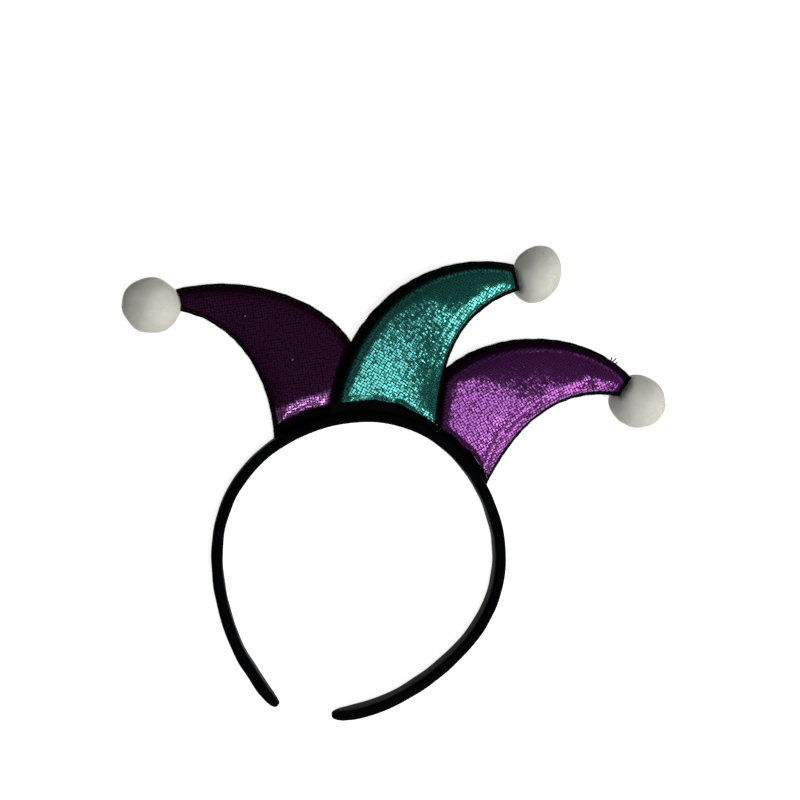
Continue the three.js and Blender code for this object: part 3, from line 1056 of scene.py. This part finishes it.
def makeStitchTree():
    tree, given = newTree("stitch row", [
        ("Pitch", "Float"), ("Length", "Float"), ("Thickness", "Float"), ("Material", "Material")])
    path = addNode(tree, "GeometryNodeMeshToCurve", {"Mesh": given["Geometry"]})
    spaced = addNode(tree, "GeometryNodeResampleCurve", {
        "Curve": path.outputs[0], "Length": given["Pitch"]}, mode="LENGTH")
    ahead = addNode(tree, "GeometryNodeInputTangent")
    aimed = addNode(tree, "FunctionNodeAlignRotationToVector", {"Vector": ahead.outputs[0]}, axis="Z")
    bead = addNode(tree, "GeometryNodeMeshUVSphere", {"Segments": 8, "Rings": 6, "Radius": 0.5})
    plantTree(tree, given, spaced.outputs[0], bead.outputs[0], aimed.outputs[0], given["Length"])
    return tree


def makeStitches():
    # black thread beside the cloth's turned edge
    tree = makeStitchTree()
    sizes = stitchSizes
    inset = feltSizes["flange"] - sizes["outward"]
    for name, horn in hornSizes.items():
        lines = []
        for side in (-1.0, 1.0):
            start = startShares(horn, np.array([side]), inset, hemWidth)[0]
            shares = np.linspace(start + sizes["fromHem"], sizes["end"], sizes["pathPoints"])
            spots = hornSpots(horn, shares, np.full(len(shares), side), inset)
            heights = seamHeight(horn, shares) + sizes["lift"]
            if name != "middle":
                clear = insideMiddle(spots) < -sizes["clearOfMiddle"]
                spots, heights = spots[clear], heights[clear]
            lines.append(toFrame(raised(spots, heights)))
        row = growTree(linePiece("stitches_" + name, lines), tree, {
            "Pitch": sizes["pitch"] * mm, "Length": sizes["length"] * mm,
            "Thickness": sizes["thickness"] * mm, "Material": materials["blackThread"]})
        finishPiece(row, "black_felt")


looseSizes = {
    "paleThickness": 0.26,
    "darkThickness": 0.6,
    "lift": 0.1,
    "sightHeight": 9.6,  # level at which the plan places below were taken
    "bitLength": 0.5,
    "paleThreads": [((31.1, 62.6), (33.0, 61.3), (34.5, 60.1)),
                    ((37.8, 58.3), (39.3, 56.8), (40.3, 55.4))],
    "paleBits": [(29.3, 64.8), (36.7, 60.8), (37.4, 60.2), (12.6, 68.6), (10.7, 69.8), (12.0, 67.4),
                 (-84.0, 84.7), (-58.6, 74.4)],
    # ends that stick out past the felt's edge near the right tip
    "tuft": [((72.4, 121.6, 14.2), (73.9, 123.4, 14.5), (74.9, 125.4, 14.1)),
             ((72.0, 121.9, 14.0), (72.9, 123.6, 14.4), (72.7, 125.0, 14.6)),
             ((73.2, 121.2, 14.1), (75.2, 122.6, 14.2), (76.1, 124.0, 13.8))],
}


def makeThreadTree():
    tree, given = newTree("loose thread", [("Thickness", "Float"), ("Material", "Material")])
    path = addNode(tree, "GeometryNodeMeshToCurve", {"Mesh": given["Geometry"]})
    half = addNode(tree, "ShaderNodeMath", {0: given["Thickness"], 1: 0.5}, operation="MULTIPLY")
    ring = addNode(tree, "GeometryNodeCurvePrimitiveCircle", {"Resolution": 6, "Radius": half.outputs[0]})
    thread = addNode(tree, "GeometryNodeCurveToMesh", {
        "Curve": path.outputs[0], "Profile Curve": ring.outputs[0], "Fill Caps": True})
    endTree(tree, thread.outputs[0], given["Material"])
    return tree


def onCloth(spot):
    # where the line of sight through a plan place meets the cloth or the band
    start = scene.camera.matrix_world.translation
    sight = (Vector(toFrame((*spot, looseSizes["sightHeight"]))) - start).normalized()
    graph = bpy.context.evaluated_depsgraph_get()
    under = ["satin_band"] + [kind + name for kind in ("lame_", "felt_") for name in hornSizes]
    hits = [bpy.data.objects[name].ray_cast(start, sight, depsgraph=graph) for name in under]
    nearest = min((place - start).length for found, place, normal, face in hits if found)
    return start + sight * (nearest - looseSizes["lift"] * mm)


def makeLooseEnds():
    # pale ends of thread and lint on the hem, and a dark tuft by the right tip
    tree = makeThreadTree()
    step = looseSizes["bitLength"] / 2
    bits = [((x - step, y - step), (x + step, y + step)) for x, y in looseSizes["paleBits"]]
    pale = [[onCloth(spot) for spot in line] for line in looseSizes["paleThreads"] + bits]
    dark = [toFrame(line) for line in looseSizes["tuft"]]
    for name, lines, thread, slot in (
            ("pale", pale, "paleThread", "white_pile"), ("dark", dark, "blackThread", "black_felt")):
        piece = growTree(linePiece("loose_ends_" + name, lines), tree, {
            "Thickness": looseSizes[name + "Thickness"] * mm, "Material": materials[thread]})
        finishPiece(piece, slot)
    print("loose ends laid:", len(pale) + len(dark))


# floor and lights

stageSizes = {
    "floor": 6000.0,
    "floorColour": "#ececec",
    "floorGlow": 0.85,
    "roomLight": (0.040, 0.036, 0.032, 1),
}

# places are millimetres from the hoop's centre, glow is each lamp's own brightness
# lamps that are not in the foil soften the pile's shade, with no streak on the cloth
# those with no aim shine straight down, and those with no tint are white
lightSizes = {
    "sheen": {"place": (90, -265, 1000), "size": (480, 330), "glow": 2.2, "inFoil": True},
    "near": {"place": (425, -385, 1000), "size": (190, 210), "glow": 7.5, "inFoil": True},
    "fill": {"place": (300, 100, 1000), "size": (600, 600), "glow": 2.5, "inFoil": False},
    "key": {"place": (1100, -700, 700), "size": (1400, 520), "glow": 3.0, "inFoil": True,
            "aim": (0, 60, 0), "tint": "#fffaf3"},
    "side": {"place": (1300, 450, 900), "size": (700, 700), "glow": 5.2, "inFoil": False,
             "aim": (0, 60, 0), "tint": "#fffaf3"},
}


def makeStage():
    half = stageSizes["floor"] / 2
    corners = [(-half, -half, 0), (half, -half, 0), (half, half, 0), (-half, half, 0)]
    floor = meshPiece("floor", toFrame(corners), [(0, 1, 2, 3)])
    material, tree, shader = newMaterial("pale paper", roughness=0.95, specular=0.0)
    shader.inputs["Base Color"].default_value = toLinear(stageSizes["floorColour"])
    shader.inputs["Emission Color"].default_value = (1, 1, 1, 1)
    # the paper's glow whitens the picture's ground and its mirror image in the foil, no more
    path = addNode(tree, "ShaderNodeLightPath")
    seen = addNode(tree, "ShaderNodeMath", {
        0: path.outputs["Is Camera Ray"], 1: path.outputs["Is Glossy Ray"]}, operation="MAXIMUM")
    glow = addNode(tree, "ShaderNodeMath", {
        0: seen.outputs[0], 1: stageSizes["floorGlow"]}, operation="MULTIPLY")
    tree.links.new(glow.outputs[0], shader.inputs["Emission Strength"])
    floor.data.materials.append(material)
    for name, sizes in lightSizes.items():
        light = bpy.data.lights.new(name, "AREA")
        light.shape = "RECTANGLE"
        light.size, light.size_y = (length * mm for length in sizes["size"])
        light.energy = sizes["glow"] * math.pi * light.size * light.size_y
        light.color = toLinear(sizes.get("tint", "#ffffff"))[:3]
        lamp = addObject(name, light)
        place = Vector(toFrame(sizes["place"]))
        aim = Vector(toFrame(sizes.get("aim", (*sizes["place"][:2], 0))))
        lamp.location = place
        lamp.rotation_euler = (place - aim).to_track_quat("Z", "Y").to_euler()
        lamp.visible_glossy = sizes["inFoil"]
    world = bpy.data.worlds.new("dim room")
    world.use_nodes = True
    world.node_tree.nodes["Background"].inputs["Color"].default_value = stageSizes["roomLight"]
    scene.world = world
    scene.view_settings.view_transform = "Standard"


makeCamera()
makeStage()
print("camera, floor and lights placed")
makeHoop()
print("hoop wrapped")
for hornName in hornSizes:
    makeCover(hornName)
    feltPiece, feltCut = makeFeltBacking(hornName)
    makeFuzz(hornName, feltPiece)
    print("horn sewn:", hornName)
makeStitches()
makeLooseEnds()
for pompomSeed, hornName in enumerate(hornSizes, start=pompomSizes["firstSeed"]):
    makePompom(hornName, pompomSeed)
